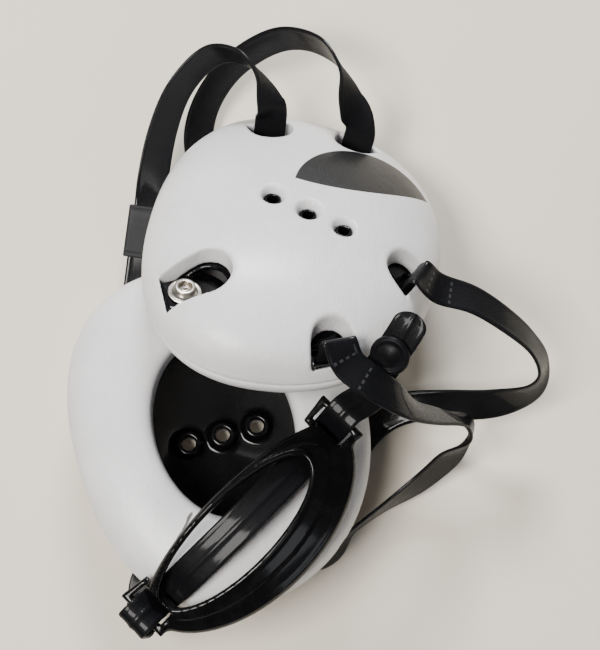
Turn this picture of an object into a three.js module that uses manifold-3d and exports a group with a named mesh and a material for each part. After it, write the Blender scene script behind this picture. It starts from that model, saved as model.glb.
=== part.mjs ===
// Wrestling headgear: two padded ear guards joined by flat straps, with a chin cup, laid down folded.
// Millimetres, +Z up.  The right guard lies dome down; the left guard leans on it, outside up.
import * as THREE from 'three';
import { mergeVertices } from 'three/addons/utils/BufferGeometryUtils.js';
import Module from 'manifold-3d';

const wasm = await Module();
wasm.setup();

// ---------- driving dimensions ----------
const gap = 0.3;                    // clearance between touching pieces
const beyond = 1;                   // how far a cutter reaches past what it cuts
const tabletop = { size: 400, depth: 40 };
const guard = {
  halfWidth: 56.4, halfLength: 67.5, squareness: 2.25,
  widerAtTop: 0.04, longerAtFront: 0.087,   // egg shape of the outline
  domeHeight: 28, domeFullness: 2.4, crownFlat: 0.3,
  coverWall: 8, shellWall: 2, coverLip: 0.86,
  padHeight: 13.2, padEdge: 7,
};
const earOpening = { x: 1, y: 0, halfWidth: 26.5, halfLength: 36 };
const strap = { width: 12.7, thickness: 1.5 };
const slot = {
  width: 18.5, depth: 13,             // the window in the cover
  floor: 9,                           // height of the shell's plate in it
  slitWidth: 14.7, slitInner: -1.5, slitOuter: 5.3,   // the strap's slit in the plate
  strapEnd: 4, strapTurn: 18,         // heights of the strap's end and of its turn outwards
};
const strapSlots = {
  crownFront: { x: -18.1, y: 43.9, heading: 108 },
  crownRear: { x: 14.4, y: 46.9, heading: 72 },
  napeUpper: { x: 42.5, y: -14, heading: -22 },
  napeLower: { x: 22, y: -52, heading: -62 },
};
const vent = { hole: 5.6, bossOutside: 10.8, bossHeight: 3, countersink: 9.5, room: 0.6, straight: 4 };
const snap = {
  x: -34, y: -41, heading: -155,    // in the guard's plan
  tabInset: 0.6, wellInset: 1,      // from the cover's window to the tab and to the well over it
  tabTop: 10.5, tabDepth: 4, windowLength: 25, roundEnd: 9.4, squareEnd: 7.4,
  flange: 6.2, flangeThickness: 0.8, collar: 4, collarHeight: 2.9, bore: 1.9,
  post: 1.8, postFlange: 4.5, cap: 7.4, capHeight: 2.8, socket: 6, socketHeight: 3.2,
};
const guardPlaces = {
  left: { x: -3, y: 26.5, tilt: 32.5, roll: 6.5, spin: -9.6, press: 1.2 },   // top edge low
  right: { x: -30, y: -40, tilt: 5.5, roll: 0, spin: 16, press: 0.8 },
};
const leftVents = { x: 3.7, y: -3, pitch: 15, slope: -18 };
const rightVents = { x: 0, y: 1.5, pitch: 13.8, slope: -1 };
const keeper = { length: 21, wall: 1.3, clearance: 0.4, station: 7 };
const cup = {
  start: [-57, -109, 46.5], end: [14.5, -38.5, 54.5],   // ends of its long axis
  thickness: 4, crown: 12, drop: 12,
  window: { u: -6, v: 2, halfLength: 37, upper: 10.4, lower: 14.4 },
  outer: { u: -1, v: 2, halfLength: 50, upper: 13.6, lower: 29.4 },
  headLength: 12, headWidth: 19, headThickness: 3, slotWidth: 14.5, slotDepth: 6, slotAt: 46.5,
};

const steps = { round: 40, dome: 9, small: 20, ribbon: 4, cup: 48 };
const black = 0x17181b;
const white = 0xd9d7d5;
const nickel = 0x9a938a;
const darkGrey = 0x3b3b3e;

// ---------- outlines: a point for an angle ----------
function superellipse(angle, halfWidth, halfLength, power) {
  const c = Math.cos(angle);
  const s = Math.sin(angle);
  const r = (Math.abs(c / halfWidth) ** power + Math.abs(s / halfLength) ** power) ** (-1 / power);
  return [r * c, r * s];
}

function guardOutline(angle) {
  const [x, y] = superellipse(angle, guard.halfWidth, guard.halfLength, guard.squareness);
  return [
    x * (1 + guard.widerAtTop * y / guard.halfLength),
    y * (1 - guard.longerAtFront * x / guard.halfWidth),
  ];
}

function earOutline(angle) {
  const [x, y] = superellipse(angle, earOpening.halfWidth, earOpening.halfLength, 2);
  return [x + earOpening.x, y + earOpening.y];
}

// An eye-shaped outline of the cup: x across the cup, y along it.
function lensOutline(angle, lens) {
  const c = Math.cos(angle);
  return [lens.v + (c < 0 ? lens.upper : lens.lower) * c, lens.u + lens.halfLength * Math.sin(angle)];
}

const centre = () => [0, 0];

function domeHeightAt(share, height, reach) {
  const p = guard.domeFullness;
  return height * Math.max(0, 1 - (share / reach) ** p) ** (1 / p);
}

// ---------- geometry helpers ----------
function closedGeometry(geometry) {
  geometry.deleteAttribute('normal');
  geometry.deleteAttribute('uv');
  return mergeVertices(geometry, 1e-4);
}

function mapVertices(geometry, move) {
  const position = geometry.attributes.position;
  for (let i = 0; i < position.count; i += 1) {
    position.setXYZ(i, ...move(position.getX(i), position.getY(i), position.getZ(i)));
  }
  position.needsUpdate = true;
  return geometry;
}

function signedVolume(geometry) {
  const position = geometry.attributes.position;
  const index = geometry.index.array;
  const [a, b, c] = [new THREE.Vector3(), new THREE.Vector3(), new THREE.Vector3()];
  let volume = 0;
  for (let i = 0; i < index.length; i += 3) {
    a.fromBufferAttribute(position, index[i]);
    b.fromBufferAttribute(position, index[i + 1]);
    c.fromBufferAttribute(position, index[i + 2]);
    volume += a.dot(b.cross(c)) / 6;
  }
  return volume;
}

// Turns every triangle round when the faces point inwards, as after a mirroring.
function facingOut(geometry) {
  if (signedVolume(geometry) > 0) return geometry;
  const index = geometry.index.array;
  for (let i = 0; i < index.length; i += 3) {
    [index[i], index[i + 1]] = [index[i + 1], index[i]];
  }
  return geometry;
}

// A lathe whose profile runs in shares from an inner outline (0) to an outer outline (1).
function turnedBetween(profile, inner, outer, segments = steps.round) {
  const base = 1;                                    // keeps a ring's inner radius above zero
  const shift = inner === centre ? 0 : base;
  const points = profile.map(([share, z]) => new THREE.Vector2(share + shift, z));
  const turned = closedGeometry(new THREE.LatheGeometry(points, segments));
  return mapVertices(turned, (x, y, z) => {
    const angle = Math.atan2(-z, x);
    const share = Math.hypot(x, z) - shift;
    const [ix, iy] = inner(angle);
    const [ox, oy] = outer(angle);
    return [ix + (ox - ix) * share, iy + (oy - iy) * share, y];
  });
}

function solid(geometry) {
  const merged = facingOut(geometry.attributes.normal ? closedGeometry(geometry) : geometry);
  const mesh = new wasm.Mesh({
    numProp: 3,
    vertProperties: new Float32Array(merged.attributes.position.array),
    triVerts: new Uint32Array(merged.index.array),
  });
  return new wasm.Manifold(mesh);
}

function geometryOf(body) {
  const mesh = body.getMesh();
  const geometry = new THREE.BufferGeometry();
  geometry.setAttribute('position', new THREE.BufferAttribute(mesh.vertProperties, 3));
  geometry.setIndex(new THREE.BufferAttribute(mesh.triVerts, 1));
  return geometry;
}

function turnedDisc(profile, segments = steps.small) {
  const points = profile.map(([r, z]) => new THREE.Vector2(r, z));
  return new THREE.LatheGeometry(points, segments).rotateX(Math.PI / 2);
}

function plug(shape, low, high) {
  const options = { depth: high - low, bevelEnabled: false, curveSegments: 8 };
  return new THREE.ExtrudeGeometry(shape, options).translate(0, 0, low);
}

function disc(radius, low, high) {
  return turnedDisc([[0, low], [radius, low], [radius, high], [0, high]]);
}

const radians = THREE.MathUtils.degToRad;

// ---------- an ear guard, in its own plan: +Z is the outside ----------
function domeProfile(height, reach, wallBottom = 0) {
  const profile = [[0, height], [guard.crownFlat * reach, height]];
  for (let i = 1; i <= steps.dome; i += 1) {
    const turn = (i / steps.dome) * Math.PI / 2;
    const share = reach * (guard.crownFlat + (1 - guard.crownFlat) * Math.sin(turn));
    profile.push([share, Math.max(wallBottom, domeHeightAt(share, height, reach))]);
  }
  return profile;
}

// The D shape of a strap slot: straight on the rim side, an arc on the centre side.
function slotShape(grow = 0) {
  const half = slot.width / 2 + grow;
  const shape = new THREE.Shape();
  shape.moveTo(-half, slot.depth / 2 + grow);
  shape.quadraticCurveTo(-half, -slot.depth / 2 - grow, 0, -slot.depth / 2 - grow);
  shape.quadraticCurveTo(half, -slot.depth / 2 - grow, half, slot.depth / 2 + grow);
  shape.closePath();
  return shape;
}

// The window over the snap tab: round towards the centre, square towards the rim.
function snapWindow(shrink = 0) {
  const round = snap.roundEnd - shrink;
  const square = snap.squareEnd - shrink;
  const length = snap.windowLength - snap.roundEnd - shrink;
  const shape = new THREE.Shape();
  shape.moveTo(length, square);
  shape.lineTo(0, round);
  shape.absarc(0, 0, round, Math.PI / 2, 3 * Math.PI / 2, false);
  shape.lineTo(length, -square);
  shape.closePath();
  return shape;
}

function atSlot(geometry, place) {
  return geometry.rotateZ(radians(place.heading - 90)).translate(place.x, place.y, 0);
}

function atSnap(geometry) {
  const back = snap.windowLength - snap.roundEnd - snap.flange - 2;   // window's round end to the stud
  return geometry.translate(-back, 0, 0).rotateZ(radians(snap.heading)).translate(snap.x, snap.y, 0);
}

function ventPlaces(row) {
  const slope = radians(row.slope);
  return [-1, 0, 1].map((i) => [
    row.x + i * row.pitch * Math.cos(slope),
    row.y + i * row.pitch * Math.sin(slope),
  ]);
}

function slitShape() {
  const half = slot.slitWidth / 2;
  const shape = new THREE.Shape();
  shape.moveTo(-half, slot.slitInner);
  shape.lineTo(half, slot.slitInner);
  shape.lineTo(half, slot.slitOuter);
  shape.lineTo(-half, slot.slitOuter);
  shape.closePath();
  return shape;
}

function cutAtSlots(body, shape) {
  let rest = body;
  for (const place of Object.values(strapSlots)) {
    rest = rest.subtract(solid(atSlot(plug(shape, -beyond, guard.domeHeight + beyond), place)));
  }
  return rest;
}

// Behind each window of the cover the shell has a flat plate, with a slit for the strap.
function addSlotPlates(body) {
  let whole = body;
  for (const place of Object.values(strapSlots)) {
    const plate = plug(slotShape(-gap), slot.floor - guard.shellWall, slot.floor);
    whole = whole.add(solid(atSlot(plate, place)));
  }
  return cutAtSlots(whole, slitShape());
}

function coverBody(vents) {
  const inner = guard.domeHeight - guard.coverWall;
  const profile = [...domeProfile(guard.domeHeight, 1), ...domeProfile(inner, guard.coverLip).reverse()];
  const top = guard.domeHeight + beyond;
  let body = cutAtSlots(solid(turnedBetween(profile, centre, guardOutline)), slotShape());
  body = body.subtract(solid(atSnap(plug(snapWindow(), -beyond, top))));
  const narrow = vent.hole / 2 + vent.room;
  for (const [x, y] of ventPlaces(vents)) {
    const funnel = turnedDisc([[0, 0], [narrow, 0], [narrow, inner + vent.straight],
      [vent.countersink / 2, top], [0, top]]);
    body = body.subtract(solid(funnel.translate(x, y, 0)));
  }
  return body;
}

function shellBody(vents) {
  const reach = guard.coverLip - 1.5 * gap / guard.halfWidth;
  const high = guard.domeHeight - guard.coverWall - 1.5 * gap;
  const innerReach = reach - guard.shellWall / guard.halfWidth;
  const profile = [...domeProfile(high, reach), ...domeProfile(high - guard.shellWall, innerReach).reverse()];
  let body = addSlotPlates(solid(turnedBetween(profile, centre, guardOutline)));
  const tabBottom = snap.tabTop - snap.tabDepth;
  const tabWell = plug(snapWindow(snap.wellInset), snap.tabTop - gap, guard.domeHeight);
  const tab = plug(snapWindow(snap.tabInset), tabBottom, snap.tabTop);
  body = body.subtract(solid(atSnap(tabWell))).add(solid(atSnap(tab)));
  const flangeRoom = disc(snap.postFlange + 1, -beyond, tabBottom);
  const postHole = disc(snap.post + gap, -beyond, snap.tabTop + beyond);
  body = body.subtract(solid(flangeRoom.translate(snap.x, snap.y, 0)));
  body = body.subtract(solid(postHole.translate(snap.x, snap.y, 0)));
  const roof = high - guard.shellWall;
  for (const [x, y] of ventPlaces(vents)) {
    const boss = disc(vent.bossOutside / 2, roof - vent.bossHeight, roof + gap);
    const hole = disc(vent.hole / 2, -beyond, high + beyond);
    body = body.add(solid(boss.translate(x, y, 0))).subtract(solid(hole.translate(x, y, 0)));
  }
  return body;
}

function padBody() {
  const crest = guard.padHeight;
  const edge = guard.padEdge;
  const profile = [[1, -gap], [0, -gap], [0, -crest * 0.8], [0.1, -crest * 0.97], [0.24, -crest],
    [0.5, -crest * 0.93], [0.75, -crest * 0.77], [0.92, -edge], [0.99, -edge * 0.5], [1, -gap]].reverse();
  return solid(turnedBetween(profile, earOutline, guardOutline));
}

function studBody() {
  const base = snap.tabTop + gap;
  const flangeTop = base + snap.flangeThickness;
  const top = flangeTop + snap.collarHeight;
  const profile = [[0, base], [snap.flange, base], [snap.flange, flangeTop], [snap.collar, flangeTop],
    [snap.collar, top], [snap.bore, top], [snap.bore, flangeTop], [0, flangeTop]];
  return solid(turnedDisc(profile));
}

function postBody() {
  const tabBottom = snap.tabTop - snap.tabDepth;
  const profile = [[0, tabBottom - gap - 1], [snap.postFlange, tabBottom - gap - 1],
    [snap.postFlange, tabBottom - gap], [snap.post, tabBottom - gap], [snap.post, snap.tabTop],
    [0, snap.tabTop]];
  return solid(turnedDisc(profile));
}

const socketBase = snap.tabTop + gap + snap.flangeThickness + gap;      // above the guard's parting plane
const strapOnSnap = socketBase + snap.socketHeight + gap + strap.thickness / 2;

// The spring socket under a snap cap, measured from the middle of the strap's thickness.
function socketBody() {
  const top = -strap.thickness / 2 - gap;
  const base = top - snap.socketHeight;
  const roof = top - 0.4;
  const inner = snap.collar + gap;
  const profile = [[0, top], [snap.socket, top], [snap.socket, base],
    [inner, base], [inner, roof], [0, roof]];
  return solid(turnedDisc(profile));
}

function capBody() {
  const base = strap.thickness / 2 + gap;
  const profile = [[0, base], [snap.cap, base], [snap.cap, base + 1]];
  const crown = snap.capHeight - 1;
  for (let i = 1; i < 4; i += 1) {
    const turn = (i / 4) * Math.PI / 2;
    profile.push([snap.cap * Math.cos(turn), base + 1 + crown * Math.sin(turn)]);
  }
  profile.push([0, base + snap.capHeight]);
  return solid(turnedDisc(profile));
}

// ---------- placing the guards ----------
// The right guard is the left one's mirror image, laid dome down, so its plan runs the same way.
function guardTurn(side) {
  const place = guardPlaces[side];
  const turn = new THREE.Matrix4().makeRotationX(radians(-place.tilt));
  turn.multiply(new THREE.Matrix4().makeRotationY(radians(place.roll)));
  turn.multiply(new THREE.Matrix4().makeRotationZ(radians(place.spin)));
  return side === 'right' ? turn.multiply(new THREE.Matrix4().makeScale(1, 1, -1)) : turn;
}

// Stands the guard on its lowest point, less a little for the soft edge that is pressed flat.
function guardStanding(side, body) {
  const place = guardPlaces[side];
  const turn = guardTurn(side);
  const geometry = geometryOf(body).applyMatrix4(turn);
  geometry.computeBoundingBox();
  const height = -geometry.boundingBox.min.z - place.press;
  return new THREE.Matrix4().makeTranslation(place.x, place.y, height).multiply(turn);
}

const pad = padBody();
const guardMatrix = {
  left: guardStanding('left', pad),
  right: guardStanding('right', coverBody(rightVents)),
};

function pressedFlat(body) {
  const { size, depth } = tabletop;
  const below = new THREE.BoxGeometry(size, size, depth).translate(0, 0, -depth / 2);
  return body.subtract(solid(below));
}

// ---------- straps: ribbons along a route of [x, y, z, roll] points ----------
// roll 0 lies flat, and a positive roll lifts the edge that is on the left of the way along.
function guardPoint(side, x, y, z) {
  return new THREE.Vector3(x, y, z).applyMatrix4(guardMatrix[side]);
}

function guardDirection(side, angle) {
  const turn = radians(angle);
  return new THREE.Vector3(Math.cos(turn), Math.sin(turn), 0).transformDirection(guardMatrix[side]);
}

// How far out from a slot's middle the strap stands in its slit.
const strapStands = { left: 3.2, right: 1 };
const abovePlate = 2;

// Where a strap leaves a slot: under the shell's plate, above it, at its turn, and a way out.
function slotExit(side, name, reach, lift) {
  const place = strapSlots[name];
  const turn = radians(place.heading);
  const start = strapStands[side];
  const stations = [[start, slot.strapEnd], [start, slot.floor + abovePlate],
    [start + 1, slot.strapTurn], [reach, lift]];
  return stations.map(([out, z]) => ({
    at: guardPoint(side, place.x + out * Math.cos(turn), place.y + out * Math.sin(turn), z),
    across: guardDirection(side, place.heading + 90),
  }));
}

function way(points) {
  return points.map(([x, y, z, roll]) => ({ at: new THREE.Vector3(x, y, z), roll: radians(roll) }));
}

function makeRoute(stations) {
  const curve = new THREE.CatmullRomCurve3(stations.map((station) => station.at), false, 'centripetal');
  const last = stations.length - 1;
  const up = new THREE.Vector3(0, 0, 1);
  const acrosses = stations.map((station, i) => {
    if (station.across) return station.across.clone();
    const along = curve.getTangent(i / last);
    const left = new THREE.Vector3().crossVectors(up, along).normalize();
    const lifted = new THREE.Vector3().crossVectors(along, left);
    return left.multiplyScalar(Math.cos(station.roll)).addScaledVector(lifted, Math.sin(station.roll));
  });
  // a held width direction has no sign of its own, so it takes its rolled neighbour's
  const settle = (i, from) => {
    if (stations[i].across && acrosses[i].dot(acrosses[from]) < 0) acrosses[i].negate();
  };
  const firstRolled = stations.findIndex((station) => !station.across);
  for (let i = firstRolled - 1; i >= 0; i -= 1) settle(i, i + 1);
  for (let i = firstRolled + 1; i <= last; i += 1) settle(i, i - 1);
  return { curve, acrosses, last };
}

function routeFrame(route, t) {
  const place = Math.min(t * route.last, route.last - 1e-6);
  const i = Math.floor(place);
  const along = route.curve.getTangent(t);
  const across = route.acrosses[i].clone().lerp(route.acrosses[i + 1], place - i);
  across.addScaledVector(along, -across.dot(along)).normalize();
  const face = new THREE.Vector3().crossVectors(along, across);
  return { at: route.curve.getPoint(t), along, across, face };
}

function ribbon(route) {
  const segments = route.last * steps.ribbon;
  const flat = new THREE.BoxGeometry(strap.width, strap.thickness, 1, 1, 1, segments);
  return facingOut(mapVertices(closedGeometry(flat), (x, y, z) => {
    const { at, across, face } = routeFrame(route, z + 0.5);
    const point = at.addScaledVector(across, x).addScaledVector(face, y);
    return [point.x, point.y, point.z];
  }));
}

function frameMatrix({ at, along, across, face }) {
  return new THREE.Matrix4().makeBasis(across, along, face.clone().negate()).setPosition(at);
}

const crownFrontRoute = makeRoute([
  ...slotExit('right', 'crownFront', 6, 23.6),
  ...way([[-64.5, 8, 2.4, 0], [-65.5, 17, 4.2, 0], [-64.3, 27, 7.4, 0], [-62, 42, 12, 0], [-60.2, 54, 15.6, 3],
    [-59, 63, 18.5, 15], [-55, 81, 24, 35], [-47.5, 97, 31, 52], [-34, 108, 38, 66], [-22, 105, 42, 88],
    [-14, 95, 44, 115], [-11.5, 86, 43, 150]]),
  ...slotExit('left', 'crownFront', 5, 25).reverse(),
]);
const crownRearRoute = makeRoute([
  ...slotExit('right', 'crownRear', 5.5, 22.7),
  ...way([[-28.9, 21, 2, 0], [-30, 36, 2.4, 0], [-36, 58, 2.2, 0], [-41, 76, 4.5, 10], [-41.5, 86, 8.5, 25],
    [-37, 98, 14.5, 40], [-26, 109, 24, 52], [-7, 116, 34, 62], [9, 110, 41, 80], [18, 97, 44, 110],
    [20, 87, 43, 150]]),
  ...slotExit('left', 'crownRear', 5, 24.5).reverse(),
]);
const napeUpperRoute = makeRoute([
  ...slotExit('left', 'napeUpper', 7, 20.5),
  ...way([[51, 9.5, 60, -15], [64, 6, 57, -25], [77, -1, 52, -35], [88, -9, 45, -50], [93, -17, 37, -65],
    [89, -25, 27, -55], [76, -28.5, 20, -35], [57, -28.5, 14, -20], [42, -29, 10, -10], [31, -34, 6.5, 0]]),
  ...slotExit('right', 'napeUpper', 6, 24).reverse(),
]);
const napeLowerRoute = makeRoute([
  ...slotExit('left', 'napeLower', 6, 19.5),
  ...way([[17, -22.5, 84.5, -5], [25, -28.5, 82.5, -10], [35, -34, 76, -25], [45.5, -37, 60, -50],
    [59, -37, 41, -72], [65.5, -41, 30, -75], [58, -50, 20, -50], [46, -60, 12, -60], [32, -69, 8.5, -82],
    [20, -78, 7.8, -86], [13, -85, 6.5, -50]]),
  ...slotExit('right', 'napeLower', 3, 24).reverse(),
]);

// ---------- the chin cup: x across, y along, z out of it ----------
function cupMatrix() {
  const start = new THREE.Vector3(...cup.start);
  const end = new THREE.Vector3(...cup.end);
  const along = end.clone().sub(start).normalize();
  const across = new THREE.Vector3().crossVectors(along, new THREE.Vector3(0, 0, 1)).normalize();
  const out = new THREE.Vector3().crossVectors(across, along);
  return new THREE.Matrix4().makeBasis(across, along, out).setPosition(start.add(end).multiplyScalar(0.5));
}

function cupRise(x, y) {
  const half = cup.outer.halfLength;
  const side = Math.max(0, x) / (cup.outer.v + cup.outer.lower);
  return cup.crown * (1 - (y / half) ** 2) - cup.drop * side ** 2;
}

function cupBody() {
  const t = cup.thickness;
  const profile = [[0, -t], [0, 0], [0.12, 0.6], [0.3, 0], [0.82, -0.4], [1, 0.6], [1, -t * 0.7],
    [0.9, -t], [0, -t]];
  const inner = (angle) => lensOutline(angle, cup.window);
  const outer = (angle) => lensOutline(angle, cup.outer);
  const ring = turnedBetween(profile, inner, outer, steps.cup);
  let body = solid(mapVertices(ring, (x, y, z) => [x, y, z + cupRise(x, y)]));
  for (const end of [-1, 1]) {
    const head = new THREE.BoxGeometry(cup.headWidth, cup.headLength, cup.headThickness);
    head.translate(0, end * cup.slotAt, -cup.headThickness / 2);
    const tall = 2 * (cup.headThickness + cup.crown);
    const hole = new THREE.BoxGeometry(cup.slotWidth, cup.slotDepth, tall).translate(0, end * cup.slotAt, 0);
    body = body.add(solid(head)).subtract(solid(hole));
  }
  return body;
}

function cupStation([x, y, z]) {
  const matrix = cupMatrix();
  return {
    at: new THREE.Vector3(x, y, z).applyMatrix4(matrix),
    across: new THREE.Vector3(1, 0, 0).transformDirection(matrix),
  };
}

function snapStations(side) {
  const turn = radians(snap.heading);
  return [-9, -4, 0, 4, 10].map((out) => ({
    at: guardPoint(side, snap.x + out * Math.cos(turn), snap.y + out * Math.sin(turn), strapOnSnap),
    across: guardDirection(side, snap.heading + 90),
  }));
}

const chinRoute = makeRoute([
  ...snapStations('right'),
  ...[[0, -57, -26], [0, -58.5, -14], [0, -57.5, -4], [0, -56.3, 2.2], [0, -51.2, 3], [0, -46.5, -1.5],
    [0, -42.5, -5], [1, -36, -2.5], [1.5, -27, 2.2], [2, 0, 6.5], [1.5, 25, 2.2], [1, 35, -2.5], [0, 42.5, -5],
    [0, 46.5, -1.5], [0, 50.5, 2.2], [0, 55, 3.5]].map(cupStation),
  ...way([[25, -31.5, 67, 0], [28.4, -24, 73.5, 0], [30.5, -21, 76, 0], [32.6, -18, 78.5, 0],
    [34.7, -15, 81, 0], [36.8, -12, 83.2, 0], [39, -8.5, 85, 0], [41, -5, 86, 0]]),
]);
const snapStation = { right: 2, left: chinRoute.last - 4 };

// ---------- the keeper, a flat loop round the front crown strap ----------
function keeperBody() {
  const width = strap.width + 2 * keeper.clearance;
  const height = strap.thickness + 2 * keeper.clearance;
  const outside = new THREE.BoxGeometry(width + 2 * keeper.wall, keeper.length, height + 2 * keeper.wall);
  const inside = new THREE.BoxGeometry(width, keeper.length + 2 * beyond, height);
  return solid(outside).subtract(solid(inside));
}

// ---------- the assembly ----------
const group = new THREE.Group();

function add(name, geometry, color, roughness, metalness = 0) {
  const finish = new THREE.MeshStandardMaterial({ color, roughness, metalness });
  const mesh = new THREE.Mesh(facingOut(geometry), finish);
  mesh.name = name;
  group.add(mesh);
}

function addGuard(side, vents) {
  const matrix = guardMatrix[side];
  const stud = new THREE.Matrix4().makeTranslation(snap.x, snap.y, 0);
  const place = (body) => pressedFlat(solid(facingOut(geometryOf(body).applyMatrix4(matrix))));
  add(`${side}_cover`, geometryOf(place(coverBody(vents))), white, 0.42);
  add(`${side}_ear_pad`, geometryOf(place(pad)), white, 0.5);
  add(`${side}_shell`, geometryOf(place(shellBody(vents))), black, 0.3);
  add(`${side}_snap_stud`, geometryOf(studBody()).applyMatrix4(stud).applyMatrix4(matrix), nickel, 0.3, 1);
  add(`${side}_snap_post`, geometryOf(postBody()).applyMatrix4(stud).applyMatrix4(matrix), nickel, 0.35, 1);
}

function addStrapSnap(side) {
  const frame = routeFrame(chinRoute, snapStation[side] / chinRoute.last);
  const outward = side === 'right' ? -1 : 1;           // the cap is on the side away from the guard
  const face = frame.face.clone().multiplyScalar(Math.sign(frame.face.z) * outward);
  const matrix = new THREE.Matrix4().makeBasis(frame.across, frame.along, face).setPosition(frame.at);
  add(`${side}_snap_cap`, geometryOf(capBody()).applyMatrix4(matrix), black, 0.35);
  add(`${side}_snap_socket`, geometryOf(socketBody()).applyMatrix4(matrix), nickel, 0.35, 1);
}

addGuard('left', leftVents);
addGuard('right', rightVents);
add('crown_strap_front', ribbon(crownFrontRoute), black, 0.45);
add('crown_strap_rear', ribbon(crownRearRoute), black, 0.45);
add('nape_strap_upper', ribbon(napeUpperRoute), black, 0.45);
add('nape_strap_lower', ribbon(napeLowerRoute), black, 0.45);
add('chin_strap', ribbon(chinRoute), black, 0.45);
addStrapSnap('left');
addStrapSnap('right');
const keeperFrame = routeFrame(crownFrontRoute, keeper.station / crownFrontRoute.last);
add('strap_keeper', geometryOf(keeperBody()).applyMatrix4(frameMatrix(keeperFrame)), darkGrey, 0.5);
add('chin_cup', geometryOf(cupBody()).applyMatrix4(cupMatrix()), black, 0.35);

// the origin is on the ground, under the middle of the whole part
const box = new THREE.Box3().setFromObject(group);
const middle = box.getCenter(new THREE.Vector3());
group.position.set(-middle.x, -middle.y, -box.min.z);

export default group;
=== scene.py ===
"""Wrestling headgear laid down folded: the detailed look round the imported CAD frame.

Lengths are worked out in millimetres and turned into metres when a mesh is made.
A guard is shaped in its own plan (x across, y along, z towards the outside) and then placed.
"""
import math

import bmesh
import bpy
import numpy as np
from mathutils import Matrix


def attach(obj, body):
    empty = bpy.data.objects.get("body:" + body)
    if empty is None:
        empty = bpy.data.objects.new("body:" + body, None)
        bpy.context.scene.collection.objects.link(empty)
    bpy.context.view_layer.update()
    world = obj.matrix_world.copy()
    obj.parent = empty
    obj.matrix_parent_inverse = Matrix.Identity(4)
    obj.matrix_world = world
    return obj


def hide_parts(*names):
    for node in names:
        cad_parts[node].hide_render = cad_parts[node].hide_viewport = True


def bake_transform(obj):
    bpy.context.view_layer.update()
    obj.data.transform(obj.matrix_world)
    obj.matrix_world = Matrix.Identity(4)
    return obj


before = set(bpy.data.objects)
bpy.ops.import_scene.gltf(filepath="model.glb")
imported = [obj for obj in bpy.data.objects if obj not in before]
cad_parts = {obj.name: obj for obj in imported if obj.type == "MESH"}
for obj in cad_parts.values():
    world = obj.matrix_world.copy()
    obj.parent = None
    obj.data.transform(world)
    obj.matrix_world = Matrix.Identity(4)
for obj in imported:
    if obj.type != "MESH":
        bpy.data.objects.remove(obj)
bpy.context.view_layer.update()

import openvdb
from mathutils import Matrix, Vector

MM = 0.001
CM_PER_MM = 0.1                       # the materials' plan coordinates are in centimetres

# ---------- driving dimensions, the same as the CAD's ----------
HALF_WIDTH, HALF_LENGTH, SQUARENESS = 56.4, 67.5, 2.25
WIDER_AT_TOP, LONGER_AT_FRONT = 0.04, 0.087
DOME_HEIGHT, DOME_FULLNESS = 28, 2.4
COVER_WALL, SHELL_WALL, COVER_LIP = 8, 2, 0.86
GAP = 0.3
PAD_HEIGHT, PAD_EDGE = 13.2, 7
EAR_X, EAR_Y, EAR_HALF_WIDTH, EAR_HALF_LENGTH = 1, 0, 26.5, 36
STRAP_WIDTH, STRAP_THICKNESS = 12.7, 1.5
SLOT_WIDTH, SLOT_DEPTH, SLOT_FLOOR = 18.5, 13, 9
SLIT_WIDTH, SLIT_INNER, SLIT_OUTER = 14.7, -1.5, 5.3
STRAP_END, STRAP_TURN, STRAP_STANDS = 4, 18, {"left": 3.2, "right": 1}
STRAP_SLOTS = {
    "crown_front": (-18.1, 43.9, 108),
    "crown_rear": (14.4, 46.9, 72),
    "nape_upper": (42.5, -14, -22),
    "nape_lower": (22, -52, -62),
}
VENT_HOLE, BOSS_WIDTH, BOSS_HEIGHT, COUNTERSINK = 5.6, 10.8, 3, 9.5
VENT_SHADE_TUBE_TOP = 25.2                    # height of the black tube up each vent of the left cover: painted shade in the vent holes, whose foam walls are white
VENT_ROWS = {"left": (3.7, -3, 15, -18), "right": (0, 1.5, 13.8, -1)}
SNAP_X, SNAP_Y, SNAP_HEADING = -34, -41, -155
TAB_TOP, TAB_DEPTH = 10.5, 4
WINDOW_LENGTH, ROUND_END, SQUARE_END = 25, 9.4, 7.4
FLANGE, FLANGE_THICKNESS, COLLAR, COLLAR_HEIGHT, BORE = 6.2, 0.8, 4, 2.9, 1.9
POST, POST_FLANGE = 1.8, 4.5
CAP, CAP_HEIGHT, SOCKET, SOCKET_HEIGHT = 7.4, 2.8, 6, 3.2
GUARD_PLACES = {                      # centre, and degrees of tilt, roll and spin
    "left": ((-6.54, 26.20, 40.24), 32.5, 6.5, -9.6),
    "right": ((-33.54, -40.30, 28.97), 5.5, 0, 16),
}
SHIFT = Vector((-3.5367, -0.305, 0))  # from the route points to the frame's origin
PAD_STEP, COVER_STEP, SHELL_STEP = 2.6, 0.75, 0.65


# ---------- outlines ----------
def superellipse(angle, half_width, half_length, power):
    c, s = np.cos(angle), np.sin(angle)
    r = (np.abs(c / half_width) ** power + np.abs(s / half_length) ** power) ** (-1 / power)
    return r * c, r * s


def guard_outline(angle):
    x, y = superellipse(angle, HALF_WIDTH, HALF_LENGTH, SQUARENESS)
    return x * (1 + WIDER_AT_TOP * y / HALF_LENGTH), y * (1 - LONGER_AT_FRONT * x / HALF_WIDTH)


def ear_outline(angle):
    x, y = superellipse(angle, EAR_HALF_WIDTH, EAR_HALF_LENGTH, 2)
    return x + EAR_X, y + EAR_Y


def guard_share(x, y):
    """How far a plan point is from the centre (0) to the guard's outline (1)."""
    across, along = x + 0 * y, y + 0 * x
    for _ in range(6):
        share = (np.abs(across / HALF_WIDTH) ** SQUARENESS + np.abs(along / HALF_LENGTH) ** SQUARENESS)
        share = np.maximum(share ** (1 / SQUARENESS), 1e-6)
        across, along = (
            x / (1 + WIDER_AT_TOP * along / (share * HALF_LENGTH)),
            y / (1 - LONGER_AT_FRONT * across / (share * HALF_WIDTH)),
        )
    return share


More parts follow.
